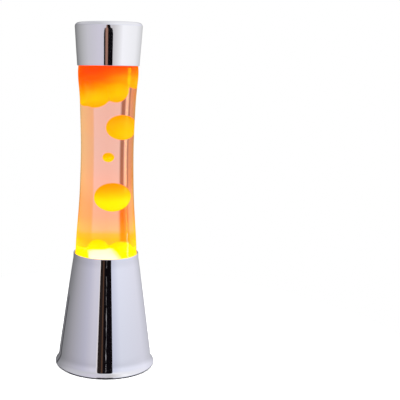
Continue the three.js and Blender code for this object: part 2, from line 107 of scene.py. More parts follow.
def smooth(points, steps):
    """A natural cubic spline through a few points, sampled evenly between them."""
    p = np.array(points, float)
    t = np.concatenate([[0], np.cumsum(np.linalg.norm(np.diff(p, axis=0), axis=1))])
    h, n = np.diff(t), len(p)
    system, right = np.eye(n), np.zeros((n, 2))
    for i in range(1, n - 1):
        system[i, i - 1:i + 2] = h[i - 1], 2 * (h[i - 1] + h[i]), h[i]
        right[i] = 6 * ((p[i + 1] - p[i]) / h[i] - (p[i] - p[i - 1]) / h[i - 1])
    bend = np.linalg.solve(system, right)
    made = []
    for x in np.linspace(0, t[-1], steps + 1):
        i = min(int(np.searchsorted(t, x, side="right")) - 1, n - 2)
        a, b = t[i + 1] - x, x - t[i]
        point = (bend[i] * a**3 + bend[i + 1] * b**3) / (6 * h[i])
        point += (p[i] / h[i] - bend[i] * h[i] / 6) * a + (p[i + 1] / h[i] - bend[i + 1] * h[i] / 6) * b
        made.append(tuple(point))
    return made


def offset(points, distance):
    """The outline moved to the left of its direction. Points on the axis stay on it."""
    p = np.array(points, float)
    steps = np.diff(p, axis=0)
    steps /= np.linalg.norm(steps, axis=1)[:, None]
    left = np.stack([-steps[:, 1], steps[:, 0]], axis=1)
    before, after = np.vstack([left[:1], left]), np.vstack([left, left[-1:]])
    scale = distance / (1 + (before * after).sum(1))
    moved = p + (before + after) * scale[:, None]
    return [(0.0 if r == 0 else m[0], m[1]) for (r, _), m in zip(points, moved)]


# ---- Mesh tools ----


def new_object(name, mesh):
    piece = bpy.data.objects.new(name, mesh)
    bpy.context.scene.collection.objects.link(piece)
    return piece


def shade(mesh, sharp_degrees=35):
    mesh.polygons.foreach_set("use_smooth", [True] * len(mesh.polygons))
    mesh.set_sharp_from_angle(angle=math.radians(sharp_degrees))


def turned(name, outline, facets, flute=None):
    """Turns an outline about Z. It ends on the axis, or closes on itself. flute(radius, height, angle)
    gives a fluted piece's radius."""
    signed = sum(a[0] * b[1] - b[0] * a[1] for a, b in zip(outline, outline[1:] + outline[:1]))
    if signed < 0:
        outline = outline[::-1]
    made = bmesh.new()
    rings = []
    for r, z in outline:
        if r == 0:
            rings.append([made.verts.new((0, 0, z * MM))] * facets)
            continue
        ring = []
        for i in range(facets):
            angle = 2 * math.pi * i / facets
            radius = (flute(r, z, angle) if flute else r) * MM
            ring.append(made.verts.new((radius * math.cos(angle), radius * math.sin(angle), z * MM)))
        rings.append(ring)
    for low, high in zip(rings, rings[1:] + rings[:1]):
        for i in range(facets):
            j = (i + 1) % facets
            corners = list(dict.fromkeys([low[i], low[j], high[j], high[i]]))
            if len(corners) > 2:
                made.faces.new(corners)
    mesh = bpy.data.meshes.new(name)
    made.to_mesh(mesh)
    made.free()
    shade(mesh)
    return new_object(name, mesh)


def melted(name, blobs, voxel, rounds):
    """Overlapping ellipsoids (centre, half-sizes) melted into one smooth mass. All sizes are in mm."""
    made = bmesh.new()
    for centre, sizes in blobs:
        place = Matrix.Translation(Vector(centre) * MM) @ Matrix.Diagonal((*(Vector(sizes) * MM), 1))
        bmesh.ops.create_icosphere(made, subdivisions=4, radius=1, matrix=place)
    mesh = bpy.data.meshes.new(name)
    made.to_mesh(mesh)
    made.free()
    piece = new_object(name, mesh)
    remesh = piece.modifiers.new("melt", "REMESH")
    remesh.mode = "VOXEL"
    remesh.voxel_size = voxel * MM
    relax = piece.modifiers.new("relax", "SMOOTH")
    relax.factor = 0.5
    relax.iterations = rounds
    apply_modifiers(piece)
    return piece


def apply_modifiers(piece, sharp_degrees=80):
    bpy.context.view_layer.update()
    evaluated = piece.evaluated_get(bpy.context.evaluated_depsgraph_get())
    mesh = bpy.data.meshes.new_from_object(evaluated)
    piece.modifiers.clear()
    piece.data = mesh
    shade(mesh, sharp_degrees)


def cut_away(piece, cutter):
    """Takes the cutter's shape out of the piece."""
    cut = piece.modifiers.new("cut", "BOOLEAN")
    cut.operation = "DIFFERENCE"
    cut.solver = "EXACT"
    cut.object = cutter
    apply_modifiers(piece, 35)
    bpy.data.objects.remove(cutter)


def finish_piece(piece, body, material, node):
    """Gives the piece its material and body, and hides the CAD node that it stands for."""
    piece.data.materials.clear()
    piece.data.materials.append(material)
    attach(piece, body)
    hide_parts(node)


# ---- Shader nodes: each function adds one to a tree and returns its output ----


def connect(tree, value, socket):
    """Links an output to the socket, or sets the socket's own value."""
    if isinstance(value, bpy.types.NodeSocket):
        tree.links.new(value, socket)
    else:
        socket.default_value = value


def maths(tree, operation, *values):
    node = tree.nodes.new("ShaderNodeMath")
    node.operation = operation
    for value, socket in zip(values, node.inputs):
        connect(tree, value, socket)
    return node.outputs["Value"]


def vector_maths(tree, operation, *values):
    node = tree.nodes.new("ShaderNodeVectorMath")
    node.operation = operation
    for value, socket in zip(values, node.inputs):
        connect(tree, value, socket)
    return node.outputs["Value" if operation in ("DOT_PRODUCT", "LENGTH") else "Vector"]


def map_range(tree, value, low, high, first=0.0, last=1.0):
    """Brings low to first and high to last, and holds the ends."""
    node = tree.nodes.new("ShaderNodeMapRange")
    for name, number in (("From Min", low), ("From Max", high), ("To Min", first), ("To Max", last)):
        node.inputs[name].default_value = number
    tree.links.new(value, node.inputs["Value"])
    return node.outputs["Result"]


def split(tree, vector):
    node = tree.nodes.new("ShaderNodeSeparateXYZ")
    tree.links.new(vector, node.inputs["Vector"])
    return node.outputs


def object_place(tree):
    return tree.nodes.new("ShaderNodeTexCoord").outputs["Object"]


def noise_texture(tree, scale, detail, stretch=(1, 1, 1)):
    mapping = tree.nodes.new("ShaderNodeMapping")
    mapping.inputs["Scale"].default_value = stretch
    tree.links.new(object_place(tree), mapping.inputs["Vector"])
    texture = tree.nodes.new("ShaderNodeTexNoise")
    texture.inputs["Scale"].default_value = scale
    texture.inputs["Detail"].default_value = detail
    tree.links.new(mapping.outputs["Vector"], texture.inputs["Vector"])
    return texture.outputs["Fac"]


def colour_ramp(tree, share, stops):
    node = tree.nodes.new("ShaderNodeValToRGB")
    elements = node.color_ramp.elements
    while len(elements) < len(stops):
        elements.new(1.0)
    for element, (position, colour) in zip(elements, stops):
        element.position = position
        element.color = (*colour, 1)
    tree.links.new(share, node.inputs["Fac"])
    return node.outputs["Color"]


def colour_mix(tree, share, low, high):
    node = tree.nodes.new("ShaderNodeMix")
    node.data_type = "RGBA"
    tree.links.new(share, node.inputs["Factor"])
    for socket, value in (("A", low), ("B", high)):
        connect(tree, (*value, 1) if isinstance(value, tuple) else value, node.inputs[socket])
    return node.outputs["Result"]


def mix_shaders(tree, share, first, second):
    node = tree.nodes.new("ShaderNodeMixShader")
    for value, socket in zip((share, first, second), node.inputs):
        tree.links.new(value, socket)
    return node.outputs["Shader"]


def see_through(tree):
    return tree.nodes.new("ShaderNodeBsdfTransparent").outputs["BSDF"]


def set_surface(tree, shader):
    tree.links.new(shader, tree.nodes["Material Output"].inputs["Surface"])


# ---- Materials ----


class Look:
    """A Principled material. Its sockets are set by name, with _ for a space."""

    def __init__(self, name, **sockets):
        self.material = bpy.data.materials.new(name)
        self.material.use_nodes = True
        self.tree = self.material.node_tree
        self.shader = self.tree.nodes["Principled BSDF"]
        for socket, value in sockets.items():
            self.shader.inputs[socket.replace("_", " ")].default_value = value

    def link(self, output, socket):
        self.tree.links.new(output, self.shader.inputs[socket])

    def noise(self, scale, detail, stretch=(1, 1, 1)):
        return noise_texture(self.tree, scale, detail, stretch)

    def vary_colour(self, pattern, stops):
        self.link(colour_ramp(self.tree, pattern, stops), "Base Color")

    def vary_roughness(self, pattern, low, high):
        self.link(map_range(self.tree, pattern, 0.3, 0.7, low, high), "Roughness")

    def bump(self, pattern, depth, strength):
        bump = self.tree.nodes.new("ShaderNodeBump")
        bump.inputs["Strength"].default_value = strength
        bump.inputs["Distance"].default_value = depth
        self.tree.links.new(pattern, bump.inputs["Height"])
        self.link(bump.outputs["Normal"], "Normal")


def grey(value):
    return (value, value, value, 1)


def chrome():
    look = Look("chrome", Base_Color=(0.86, 0.86, 0.9, 1), Metallic=1.0, Roughness=0.035)
    look.vary_roughness(look.noise(9, 3), 0.02, 0.06)
    spun = look.noise(60, 2, (0.02, 0.02, 18))
    look.bump(spun, 0.00002, 0.12)
    return look.material


def metal(name, colour, rough, dulled=0.72):
    look = Look(name, Base_Color=(*colour, 1), Metallic=1.0, Roughness=rough)
    dull = tuple(dulled * c for c in colour)
    look.vary_colour(look.noise(130, 5), [(0.35, dull), (0.6, colour)])
    look.vary_roughness(look.noise(55, 6), rough * 0.75, rough * 1.4)
    look.bump(look.noise(400, 3), 0.00008, 0.25)
    return look.material


def moulded(name, colour, rough, grain, depth, sheen=0.0):
    look = Look(name, Base_Color=(*colour, 1), Roughness=rough, Sheen_Weight=sheen)
    lighter = tuple(min(1.0, c * 1.35 + 0.01) for c in colour)
    look.vary_colour(look.noise(70, 5), [(0.3, colour), (0.75, lighter)])
    look.vary_roughness(look.noise(200, 4), rough * 0.85, min(1.0, rough * 1.15))
    look.bump(look.noise(grain, 2), depth, 0.5)
    return look.material


CLEAR_GLOSS = 0.15  # the tent is so near that the glass would be hazy with full reflections


def clear(name, ior, **sockets):
    return Look(name, Base_Color=grey(1.0), Roughness=0.0, IOR=ior, Transmission_Weight=1.0,
                Specular_Tint=grey(CLEAR_GLOSS), **sockets)


def bottle_glass():
    look = clear("bottle_glass", 1.5)
    look.bump(look.noise(28, 2, (1, 1, 0.35)), 0.0004, 0.02)
    return look.material


LIQUID_TINT = (0.92, 0.4, 0.2)
LIQUID_DENSITY = 20.0
GLOW_LOW, GLOW_HIGH = 120, 240  # the bulb's light fades out in the liquid between these heights
GLOW_SLANT = (0, -0.35, 1)  # it reaches higher at the back, behind the pool
LIQUID_GLOW = [
    (0.0, (0.6, 0.36, 0.0)),
    (0.22, (0.5, 0.22, 0.0)),
    (0.32, (0.25, 0.07, 0.0)),
    (0.5, (0.12, 0.025, 0.0)),
    (1.0, (0.0, 0.0, 0.0)),
]
# Painted light: the liquid's colour by height, yellow low down where the bulb lights it, and clear higher up.
LIQUID_BULB_LIGHT_TINT = [
    (0.0, (1.0, 0.92, 0.002)),
    (0.09, (1.0, 0.93, 0.003)),
    (0.14, (1.0, 0.94, 0.05)),
    (0.19, (1.0, 0.96, 0.75)),
    (0.4, (1.0, 0.98, 0.92)),
    (1.0, (1.0, 1.0, 1.0)),
]


def tinted_liquid():
    look = clear("tinted_liquid", 1.34, Emission_Strength=1.0)
    tree = look.tree
    absorb = tree.nodes.new("ShaderNodeVolumeAbsorption")
    absorb.inputs["Density"].default_value = LIQUID_DENSITY
    absorb.inputs["Color"].default_value = (*LIQUID_TINT, 1)
    tree.links.new(absorb.outputs["Volume"], tree.nodes["Material Output"].inputs["Volume"])
    # Painted light: the liquid glows by emission though it is no lamp, and is tinted yellow low down, for the
    # bulb's light from below.
    slanted = vector_maths(tree, "DOT_PRODUCT", object_place(tree), GLOW_SLANT)
    height = map_range(tree, slanted, GLOW_LOW * MM, GLOW_HIGH * MM)
    look.link(colour_ramp(tree, height, LIQUID_GLOW), "Emission Color")
    look.link(colour_ramp(tree, height, LIQUID_BULB_LIGHT_TINT), "Base Color")
    return look.material


# Colours of the wax's painted glow: the wax glows by emission though it is no lamp, standing in for the
# bulb's light in it.
RED = (1.0, 0.05, 0.0)
RED_ORANGE = (1.0, 0.1, 0.0)
ORANGE = (1.0, 0.25, 0.0)
AMBER = (1.0, 0.38, 0.0)
GOLD = (1.0, 0.5, 0.0)
HONEY = (1.0, 0.6, 0.0)
YELLOW = (1.0, 0.85, 0.0)
PAINTED_BULB_WHITE = (1.0, 0.97, 0.95)
UNDERSIDE_SHADE = (1.0, 0.86, 1.0)
# Where the bulb's light shines white through the pool: a painted highlight.
BULB_SPOT_CENTRE = (-1.0, -10, 118)
BULB_SPOT_SIZE = (17.5, 45, 19.8)
BULB_SPOT_CUT = (0.0308, 0.0, 0.0415)  # 1 on the plane that cuts the shoulder away, per mm from the centre
CLOUD_SHARE = 0.12  # how much the glow's edge wanders up and down


def wax(name, stops, strength, tilt=0.0, painted_bulb_spot=False):
    """Lit, molten wax, which glows by emission though it is no lamp: painted light for the bulb's light in
    it. Its glow changes with height in the piece, and a little from side to side, as painted light from the
    bulb below.
    The undersides get painted shade, and a painted highlight of the bulb's white light shows in the pool."""
    look = Look(name, Roughness=0.35, IOR=1.08, Specular_IOR_Level=0.0, Subsurface_Weight=0.3,
                Subsurface_Scale=0.006, Emission_Strength=strength)
    tree = look.tree
    place = tree.nodes.new("ShaderNodeTexCoord").outputs
    share = split(tree, place["Generated"])
    # Painted light: the glow's colour follows height in the piece, with a wandering edge and a slant from
    # side to side, for the bulb's light from below.
    height = maths(tree, "MULTIPLY_ADD", look.noise(55, 3), CLOUD_SHARE, share["Z"])
    height = maths(tree, "MULTIPLY_ADD", share["X"], -tilt, height)
    # Painted shade: the undersides are darker.
    under = map_range(tree, split(tree, place["Normal"])["Z"], -0.98, -0.6)
    shadow = colour_mix(tree, under, UNDERSIDE_SHADE, (1.0, 1.0, 1.0))
    colour = vector_maths(tree, "MULTIPLY", colour_ramp(tree, height, stops), shadow)
    # Painted light: the bulb's light shows white in the pool.
    if painted_bulb_spot:
        colour = colour_mix(tree, bulb_spot_share(tree, place["Object"]), colour, PAINTED_BULB_WHITE)
    look.link(colour, "Base Color")
    look.link(colour, "Emission Color")
    return look.material


def bulb_spot_share(tree, place):
    """The mask of the pool's painted bulb light: 1 inside a rounded block over the bulb, with its right
    shoulder cut away, and 0 a little outside it.
    """
    away = vector_maths(tree, "SUBTRACT", place, Vector(BULB_SPOT_CENTRE) * MM)
    scaled = vector_maths(tree, "DIVIDE", away, Vector(BULB_SPOT_SIZE) * MM)
    block = vector_maths(tree, "LENGTH", vector_maths(tree, "MULTIPLY", scaled, scaled))
    shoulder = vector_maths(tree, "DOT_PRODUCT", away, Vector(BULB_SPOT_CUT) / MM)
    return map_range(tree, maths(tree, "MAXIMUM", block, shoulder), 1.08, 0.88)


CHROME = chrome()
STEEL = metal("zinc_steel", (0.62, 0.62, 0.65), 0.32)
BRASS = metal("brass", (0.78, 0.6, 0.3), 0.25)
CLOSURE = metal("closure_metal", (0.86, 0.84, 0.76), 0.3, dulled=0.93)
BLACK_PLASTIC = moulded("black_plastic", (0.02, 0.02, 0.022), 0.5, 900, 0.0001)
CERAMIC = moulded("ceramic", (0.84, 0.81, 0.74), 0.45, 600, 0.00012)
RUBBER = moulded("foot_rubber", (0.025, 0.025, 0.025), 0.85, 1200, 0.0001, sheen=0.2)
SILICONE = moulded("silicone", (0.42, 0.4, 0.35), 0.6, 700, 0.00005)
LEAD = moulded("lead_insulation", (0.22, 0.08, 0.035), 0.55, 800, 0.00005)
GLASS = bottle_glass()
LIQUID = tinted_liquid()


# ---- Base ----


LIP_ROUND = 1.3
CONE_FOOT, CONE_MIDDLE = (53.0, 16), (45.6, 70)
RIM_BAND = 6  # the straight band under the rim's hem


def shell_outside():
    lip_r, lip_z = FOOT_RADIUS - LIP_ROUND, LIP_BOTTOM + LIP_ROUND
    lip = arc(lip_r, lip_z, LIP_ROUND, -150, 28, 14)
    lip_end = arc(lip_r, lip_z, LIP_ROUND, 36, 36, 1)[0]
    flare = smooth([lip_end, (56.1, 4.4), (54.9, 6.6), (54.05, 9.0), (53.4, 12), CONE_FOOT], 24)
    cone = smooth([CONE_FOOT, CONE_MIDDLE, (RIM_RADIUS + 0.12, RIM_HEIGHT - RIM_BAND)], 20)
    return lip + flare + cone[1:]


def base_shell():
    hem = SHELL_WALL
    outside = shell_outside()
    rim = arc(RIM_RADIUS - hem, RIM_HEIGHT - hem, hem, 0, 180, 10)
    inner_hem = [(RIM_RADIUS - 2 * hem, RIM_HEIGHT - RIM_BAND)]
    inside = offset(outside, SHELL_WALL)[::-1]
    return turned("chrome_base", outside + rim + inner_hem + inside, 256)


# The cord inlet, a bush in the back wall; its own +Z points out of the shell

INLET_PLACE, INLET_TILT = Vector((0, 51.18, 27)), 7.75
INLET_BORE, INLET_BARREL = 4.0, 5.6
INLET_HOLE = INLET_BARREL + 0.15
COLLAR_LOW, COLLAR_HIGH = -2.6, -1.4  # the collar grips the wall from inside
COLLAR_RADIUS = INLET_BARREL + 1.3


def to_inlet(piece):
    turn = Matrix.Rotation(math.radians(INLET_TILT - 90), 4, "X")
    piece.data.transform(Matrix.Translation(INLET_PLACE * MM) @ turn)
    return piece


def cord_inlet():
    end = [(INLET_BORE, -9), (INLET_BARREL - 0.5, -9), (INLET_BARREL, -8.5)]
    collar = [(INLET_BARREL, COLLAR_LOW), (COLLAR_RADIUS, COLLAR_LOW)]
    collar += [(COLLAR_RADIUS, COLLAR_HIGH), (INLET_BARREL, COLLAR_HIGH)]
    flange = [(INLET_BARREL, 1.2), *arc(INLET_BARREL + 1.6, 1.8, 0.6, -90, 75, 8)]
    mouth = arc(INLET_BORE + 1, 2.2, 1, 75, 180, 8)
    return turned("cord_inlet_bush", end + collar + flange + mouth, 96)


def inlet_hole():
    return turned("inlet_hole", [(0, -4), (INLET_HOLE, -4), (INLET_HOLE, 4), (0, 4)], 96)


SHELL = base_shell()
cut_away(SHELL, to_inlet(inlet_hole()))
finish_piece(SHELL, "base", CHROME, "base_shell")
finish_piece(to_inlet(cord_inlet()), "base", BLACK_PLASTIC, "cord_inlet")


PAD_RADIUS, PAD_ROUND = 6, 0.7


def foot(node):
    low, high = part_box(node)
    centre, height = (low + high) / 2, (high.z - low.z) / MM
    edge = arc(PAD_RADIUS - PAD_ROUND, PAD_ROUND, PAD_ROUND, -90, 0, 6)
    pad = turned(node + "_pad", [(0, 0), *edge, (PAD_RADIUS, height), (0, height)], 64)
    pad.data.transform(Matrix.Translation((centre.x, centre.y, low.z)))
    finish_piece(pad, "base", RUBBER, node)


for number in range(1, 5):
    foot(f"foot_{number}")


# ---- Bottle seat and its gasket ----


CONE_SLOPE = 0.1422  # how far the shell's wall comes in for each mm up, at the seat
SEAT_SHEET, SEAT_HOLE = 1.2, 22.5
GASKET_HOLE = 23.2


def bottle_seat():
    low, high, wide = extent("bottle_seat")
    narrow, inside = wide - (high - low) * CONE_SLOPE, wide - SEAT_SHEET
    outer = [(wide, low), (narrow, high - 0.3), (narrow - 0.6, high)]
    inner = [(narrow - SEAT_SHEET, high - 0.3), (inside - 1.6, low + SEAT_SHEET + 1.2)]
    inner += [(inside - 2.8, low + SEAT_SHEET)]
    rolled = arc(SEAT_HOLE + 0.6, low + 0.6, 0.6, 90, 270, 8)
    return turned("seat_ring", outer + inner + rolled, 192)


def seat_gasket():
    low, high, wide = extent("seat_gasket")
    middle, half = (low + high) / 2, (high - low) / 2
    outer = arc(wide - half, middle, half, -90, 90, 10)
    inner = arc(GASKET_HOLE + half, middle, half, 90, 270, 10)
    return turned("gasket_ring", outer + inner, 160)


finish_piece(bottle_seat(), "base", STEEL, "bottle_seat")
finish_piece(seat_gasket(), "base", SILICONE, "seat_gasket")


# ---- Lampholder and bulb: a small Edison screw, with its thread as a real helix ----

THREAD_PITCH, THREAD_DEPTH = 2.822, 0.2
CAP_THREAD, CAP_BORE = 6.75, 6.2
SOCKET_OUTSIDE, SOCKET_INSIDE = 7.62, 7.42


def thread(radius, height, angle):
    return radius + THREAD_DEPTH * math.cos(2 * math.pi * height / THREAD_PITCH - angle)


def outer_thread(radius, height, angle):
    return thread(radius, height, angle) if radius > CAP_BORE + 0.1 else radius


def threaded_rings(radius, low, high):
    return [(radius, z) for z in np.linspace(low, high, int((high - low) / 0.28))]


def bulb_cap():
    low, high, _ = extent("bulb_cap")
    outside = threaded_rings(CAP_THREAD, low, high)
    return turned("bulb_cap_thread", outside + [(CAP_BORE, high), (CAP_BORE, low)], 64, outer_thread)


def lampholder_shell():
    low, high, _ = extent("lampholder_shell")
    outside, inside = threaded_rings(SOCKET_OUTSIDE, low, high), threaded_rings(SOCKET_INSIDE, low, high)
    return turned("lampholder_thread", outside + inside[::-1], 64, thread)


def lampholder_body():
    low, high, wide = extent("lampholder_body")
    well, well_floor = 8.0, 24.0
    nut_bore, nut_depth = 5.3, 5.6
    outside = [(nut_bore, low), *arc(wide - 2, low + 2, 2, -90, 0, 6), *arc(wide - 1, high - 1, 1, 0, 90, 5)]
    inside = [*arc(well + 0.5, high - 0.5, 0.5, 90, 180, 4), (well, well_floor), (0, well_floor)]
    below = [(0, low + nut_depth), (nut_bore, low + nut_depth)]
    return turned("lampholder_ceramic", outside + inside + below, 96)


BULB_NECK = 5.9
BULB_EDGE, BULB_EDGE_HEIGHT = 3.5, 86.5  # the round between the reflector and the face
FROST_LOW, FROST_HIGH = 84, BULB_EDGE_HEIGHT  # the mirror turns into the frosted face between these heights
MIRROR, FROST = (0.8, 0.8, 0.82), (0.3, 0.28, 0.25)
BULB_CENTRE, BULB_RIM = (1.3, 1.1, 0.75), (0.5, 0.3, 0.1)  # the face's glow


def bulb_glass():
    neck = (BULB_NECK, node_bottom("bulb_glass"))
    cone = smooth([(BULB_NECK, 48.5), (8.2, 51.6), (9.2, 57), (13, 68), (BULB_RADIUS - 0.6, 83)], 30)
    shoulder = arc(BULB_RADIUS - BULB_EDGE, BULB_EDGE_HEIGHT, BULB_EDGE, 4, 62, 10)
    face = smooth([shoulder[-1], (7, BULB_FACE - 0.8), (0, BULB_FACE)], 12)[1:]
    outside = [neck, *cone, *shoulder, *face]
    return turned("bulb_reflector", outside + offset(outside, 0.8)[::-1], 128)


def lit_bulb():
    """Mirror-backed glass with a frosted, glowing face."""
    look = Look("lit_bulb", Roughness=0.12, Emission_Strength=1.0)
    tree = look.tree
    place = object_place(tree)
    face = map_range(tree, split(tree, place)["Z"], FROST_LOW * MM, FROST_HIGH * MM)
    from_axis = vector_maths(tree, "LENGTH", vector_maths(tree, "MULTIPLY", place, (1, 1, 0)))
    glow = colour_mix(tree, map_range(tree, from_axis, 0.0, BULB_RADIUS * MM), BULB_CENTRE, BULB_RIM)
    look.link(colour_mix(tree, face, MIRROR, FROST), "Base Color")
    look.link(colour_mix(tree, face, (0.0, 0.0, 0.0), glow), "Emission Color")
    look.link(map_range(tree, face, 0.0, 1.0, 1.0, 0.0), "Metallic")
    look.bump(look.noise(900, 2), 0.00003, 0.3)
    return look.material


finish_piece(lampholder_body(), "base", CERAMIC, "lampholder_body")
finish_piece(lampholder_shell(), "base", BRASS, "lampholder_shell")
finish_piece(bulb_cap(), "bulb", BRASS, "bulb_cap")
finish_piece(bulb_glass(), "bulb", lit_bulb(), "bulb_glass")


# ---- Bottle and liquid ----


def bottle_outside():
    heel_r, heel_z = HEEL_RADIUS - HEEL_ROUND, BOTTLE_FLOOR + HEEL_ROUND
    wall = smooth([
        (34.88, 121.8), (HEEL_RADIUS, RIM_HEIGHT), (33.75, 157), (31.3, 189), (29.95, 226),
        (29.65, 254), (30.5, 287), (32.1, 317), (SHOULDER_RADIUS, SHOULDER_HEIGHT), (33.0, 343.2),
    ], 96)
    shoulder = arc(SHOULDER_RADIUS - SHOULDER_ROUND, SHOULDER_HEIGHT, SHOULDER_ROUND, 14, 78, 12)
    neck = arc(NECK_RADIUS + 4, SHOULDER_HEIGHT + SHOULDER_ROUND + 4.4, 4, 240, 180, 8)
    floor = smooth([(0, BOTTLE_FLOOR + 3), (12, BOTTLE_FLOOR + 2.2), (heel_r - 4, BOTTLE_FLOOR)], 10)
    return floor + arc(heel_r, heel_z, HEEL_ROUND, -90, 12, 14)[:-1] + wall + shoulder + neck


OUTSIDE = bottle_outside()


def bore(gap):
    return offset(OUTSIDE, GLASS_WALL + gap)


def glass_bottle():
    finish_ring = [(NECK_RADIUS, MOUTH - 6.5)] + arc(NECK_RADIUS - 0.3, MOUTH - 4.4, 1.1, -40, 40, 6)
    finish_ring += [(NECK_RADIUS + 0.3, MOUTH - 3)] + arc(NECK_RADIUS - 1, MOUTH - 1, 1, 0, 90, 5)
    inside = bore(0)
    mouth = arc(inside[-1][0] + 0.8, MOUTH - 0.8, 0.8, 90, 180, 5)
    return turned("glass_bottle_fine", OUTSIDE + finish_ring + mouth + inside[::-1], 256)


def liquid():
    inside = bore(-LIQUID_OVERLAP)
    neck = inside[-1][0]
    level = [(neck, LIQUID_LEVEL + 0.4), (neck - 1, LIQUID_LEVEL), (0, LIQUID_LEVEL)]
    return turned("tinted_liquid", inside + level, 256)


finish_piece(glass_bottle(), "bottle", GLASS, "glass_bottle")
finish_piece(liquid(), "bottle", LIQUID, "carrier_liquid")


# ---- Crown closure: a thin cap crimped round the mouth in 21 flutes ----

FLUTES = 21
CROWN_RADIUS = 13.6


def crimped(radius, height, angle):
    reach = min(1.0, max(0.0, (MOUTH - 0.5 - height) / 3.5))
    return radius + 0.35 * reach * math.cos(FLUTES * angle) if radius > CROWN_RADIUS else radius


def bottle_closure():
    top = node_top("bottle_closure")
    skirt = smooth([(14.55, top - 1.2), (14.7, MOUTH - 1.8), (15.7, MOUTH - 4.25)], 14)
    crown = arc(CROWN_RADIUS, top - 0.95, 0.95, 0, 90, 8)[::-1]
    step = [(11.2, top), (10.7, top - 0.25), (0, top - 0.25)]
    outside = step[::-1] + crown + skirt
    return turned("crown_closure", outside + offset(outside, -0.3)[::-1], 252, crimped)


finish_piece(bottle_closure(), "bottle", CLOSURE, "bottle_closure")


# ---- Wax ----

WALL_R, WALL_Z = np.array([p for p in bore(WAX_GAP) if p[0] > 0]).T
HEEL_END = int(np.argmax(WALL_R > 31))  # from here on up, each height has one radius
WAX_FLOOR = BOTTLE_FLOOR + GLASS_WALL + 2.4
WAX_GLOW, POOL_GLOW = 0.95, 1.0


def press_into_bottle(piece, floor=None):
    """Holds wax inside the bore, and flattens it against the glass and the floor."""
    heights, radii = WALL_Z[HEEL_END:], WALL_R[HEEL_END:]
    for vertex in piece.data.vertices:
        x, y, z = vertex.co / MM
        if floor is not None and z < floor:
            z = floor
        limit = float(np.interp(z, heights, radii))
        reach = math.hypot(x, y)
        if reach > limit:
            x, y = x * limit / reach, y * limit / reach
        vertex.co = Vector((x, y, z)) * MM


def ripple(piece, scale, depth, seed):
    """Slow, uneven swell of molten wax."""
    for vertex, normal in zip(piece.data.vertices, [v.normal.copy() for v in piece.data.vertices]):
        swell = noise.noise(vertex.co / (scale * MM) + Vector((seed, 0, 0)))
        vertex.co += normal * swell * depth * MM


def centre_of(node):
    low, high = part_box(node)
    return (low + high) / 2 / MM, (high - low) / 2 / MM


def wax_blob(which, stops, depth, seed):
    node = f"wax_blob_{which}"
    centre, sizes = centre_of(node)
    blob = melted(f"wax_drop_{which}", [(centre, sizes * 0.99)], voxel=max(sizes) / 18, rounds=6)
    ripple(blob, max(sizes) * 1.1, depth, seed)
    press_into_bottle(blob)
    finish_piece(blob, f"{which}_wax", wax(f"wax_{which}", stops, WAX_GLOW), node)


def wax_top():
    lobes = [
        ((-11, -2, 315), (14, 22, 18)),
        ((-21, -4, 316), (12, 18, 17.3)),
        ((7.4, -4, 317), (10.4, 19, 13.5)),
        ((24, 0, 329.5), (8, 14, 11)),
        ((0, 2, 341), (40, 38, 21)),
        ((0, 0, 342), (31, 31, 10)),
    ]
    mass = melted("hanging_wax", lobes, voxel=1.1, rounds=10)
    ripple(mass, scale=16, depth=0.5, seed=3.0)
    press_into_bottle(mass)
    return mass


def wax_pool():
    mounds = [
        ((0, 0, 122), (34, 34, 14.5)),
        ((-6.4, 2, 134), (9.4, 12.5, 13.0)),
        ((11.5, 4, 131.4), (11, 13, 12.6)),
        ((0, -4, 124), (33, 30, 11)),
    ]
    mass = melted("pooled_wax", mounds, voxel=1.1, rounds=8)
    ripple(mass, scale=15, depth=0.5, seed=7.0)
    press_into_bottle(mass, WAX_FLOOR)
    return mass


# Painted light: each piece's glow from low to high in it, yellower low down nearer the bulb and redder higher
# up.
TOP_STOPS = [(0.0, GOLD), (0.12, GOLD), (0.25, AMBER), (0.34, ORANGE), (0.46, RED_ORANGE), (0.6, RED)]
UPPER_STOPS = [(0.1, HONEY), (0.6, GOLD), (1.0, AMBER)]
SMALL_STOPS = [(0.1, YELLOW), (0.9, GOLD)]
MIDDLE_STOPS = [(0.1, YELLOW), (0.45, YELLOW), (0.75, GOLD), (1.0, AMBER)]
POOL_STOPS = [(0.0, YELLOW), (1.0, YELLOW)]

HANGING = wax("wax_hanging", TOP_STOPS, WAX_GLOW, tilt=0.3)
POOLED = wax("wax_pooled", POOL_STOPS, POOL_GLOW, painted_bulb_spot=True)
finish_piece(wax_top(), "bottle", HANGING, "wax_top")
finish_piece(wax_pool(), "bottle", POOLED, "wax_pool")
wax_blob("upper", UPPER_STOPS, depth=0.5, seed=1.3)
wax_blob("small", SMALL_STOPS, depth=0.2, seed=2.1)
wax_blob("middle", MIDDLE_STOPS, depth=0.6, seed=4.7)


# ---- Cap ----


def top_cap():
    corner, dome = 4.5, 0.8
    shoulder = arc(CAP_RADIUS - corner, LAMP_HEIGHT - dome - corner, corner, 4, 86, 14)
    crown = smooth([shoulder[-1], (20, LAMP_HEIGHT - dome * 0.4), (0, LAMP_HEIGHT)], 10)[1:]
    edge_r, edge_z = 34.45, CAP_EDGE + 1.3
    wall = smooth([(edge_r, edge_z), (35.95, 365), shoulder[0]], 12)[:-1]
    outside = wall + shoulder + crown
    hem = arc(edge_r - 0.55, CAP_EDGE + 0.55, 0.55, -180, 0, 8)
    return turned("chrome_cap", hem + outside + offset(outside, 0.75)[::-1], 256)


finish_piece(top_cap(), "cap", CHROME, "top_cap")


# ---- Simple materials for the pieces that keep their CAD shape ----

